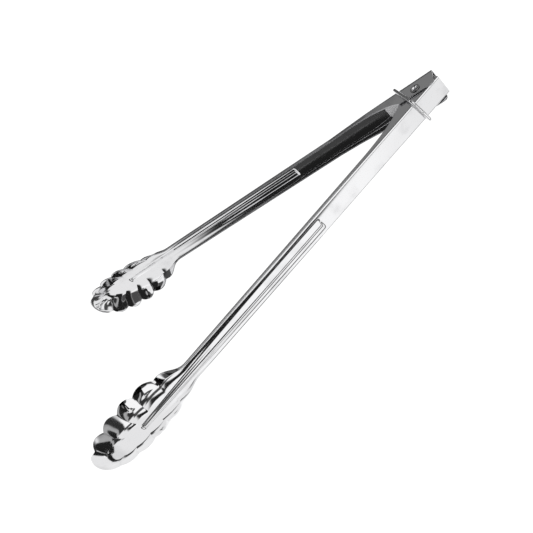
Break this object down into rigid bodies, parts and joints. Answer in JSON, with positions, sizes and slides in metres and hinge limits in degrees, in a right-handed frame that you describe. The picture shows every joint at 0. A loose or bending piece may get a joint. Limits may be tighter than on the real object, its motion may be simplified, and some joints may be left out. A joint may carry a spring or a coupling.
{
  "type": "spring loaded kitchen tongs",
  "caption": "Spring loaded kitchen tongs with channel-section arms, scalloped cupped heads, a hollow hinge rivet, a leaf spring and a sliding lock ring.",
  "frame": {"origin": "middle of the hinge rivet's bore, on the hinge axis", "axes": "+Z along the hinge axis, +X from the hinge to the tips halfway between the open arms, +Y towards the inner arm"},
  "size_m": [0.2913, 0.1654, 0.0358],
  "materials": {
    "polished_steel": "mirror-polished stainless steel sheet",
    "rivet_steel": "bright rolled stainless tube",
    "spring_steel": "satin spring steel strip",
    "ring_steel": "bright drawn stainless wire"
  },
  "bodies": {
    "inner": {"inner_arm": "polished_steel", "pivot_rivet": "rivet_steel", "return_spring": "spring_steel"},
    "outer": {"outer_arm": "polished_steel"},
    "ring": {"lock_ring": "ring_steel"}
  },
  "joints": [
    {"name": "arm_hinge", "type": "hinge", "parent": "inner", "child": "outer", "pos_m": [0, 0, 0], "axis": [0, 0, 1], "range_deg": [0, 31], "stiffness_Nm_per_rad": 0.8, "springref_deg": -17.19, "deforming": ["return_spring"]},
    {"name": "ring_slide", "type": "slide", "parent": "inner", "child": "ring", "axis": [0.9636, 0.2672, 0], "range_m": [0, 0.0181]}
  ],
  "couplings": [
    {"joint": "ring_slide", "follows": "arm_hinge", "m_per_rad": 0.03327}
  ]
}
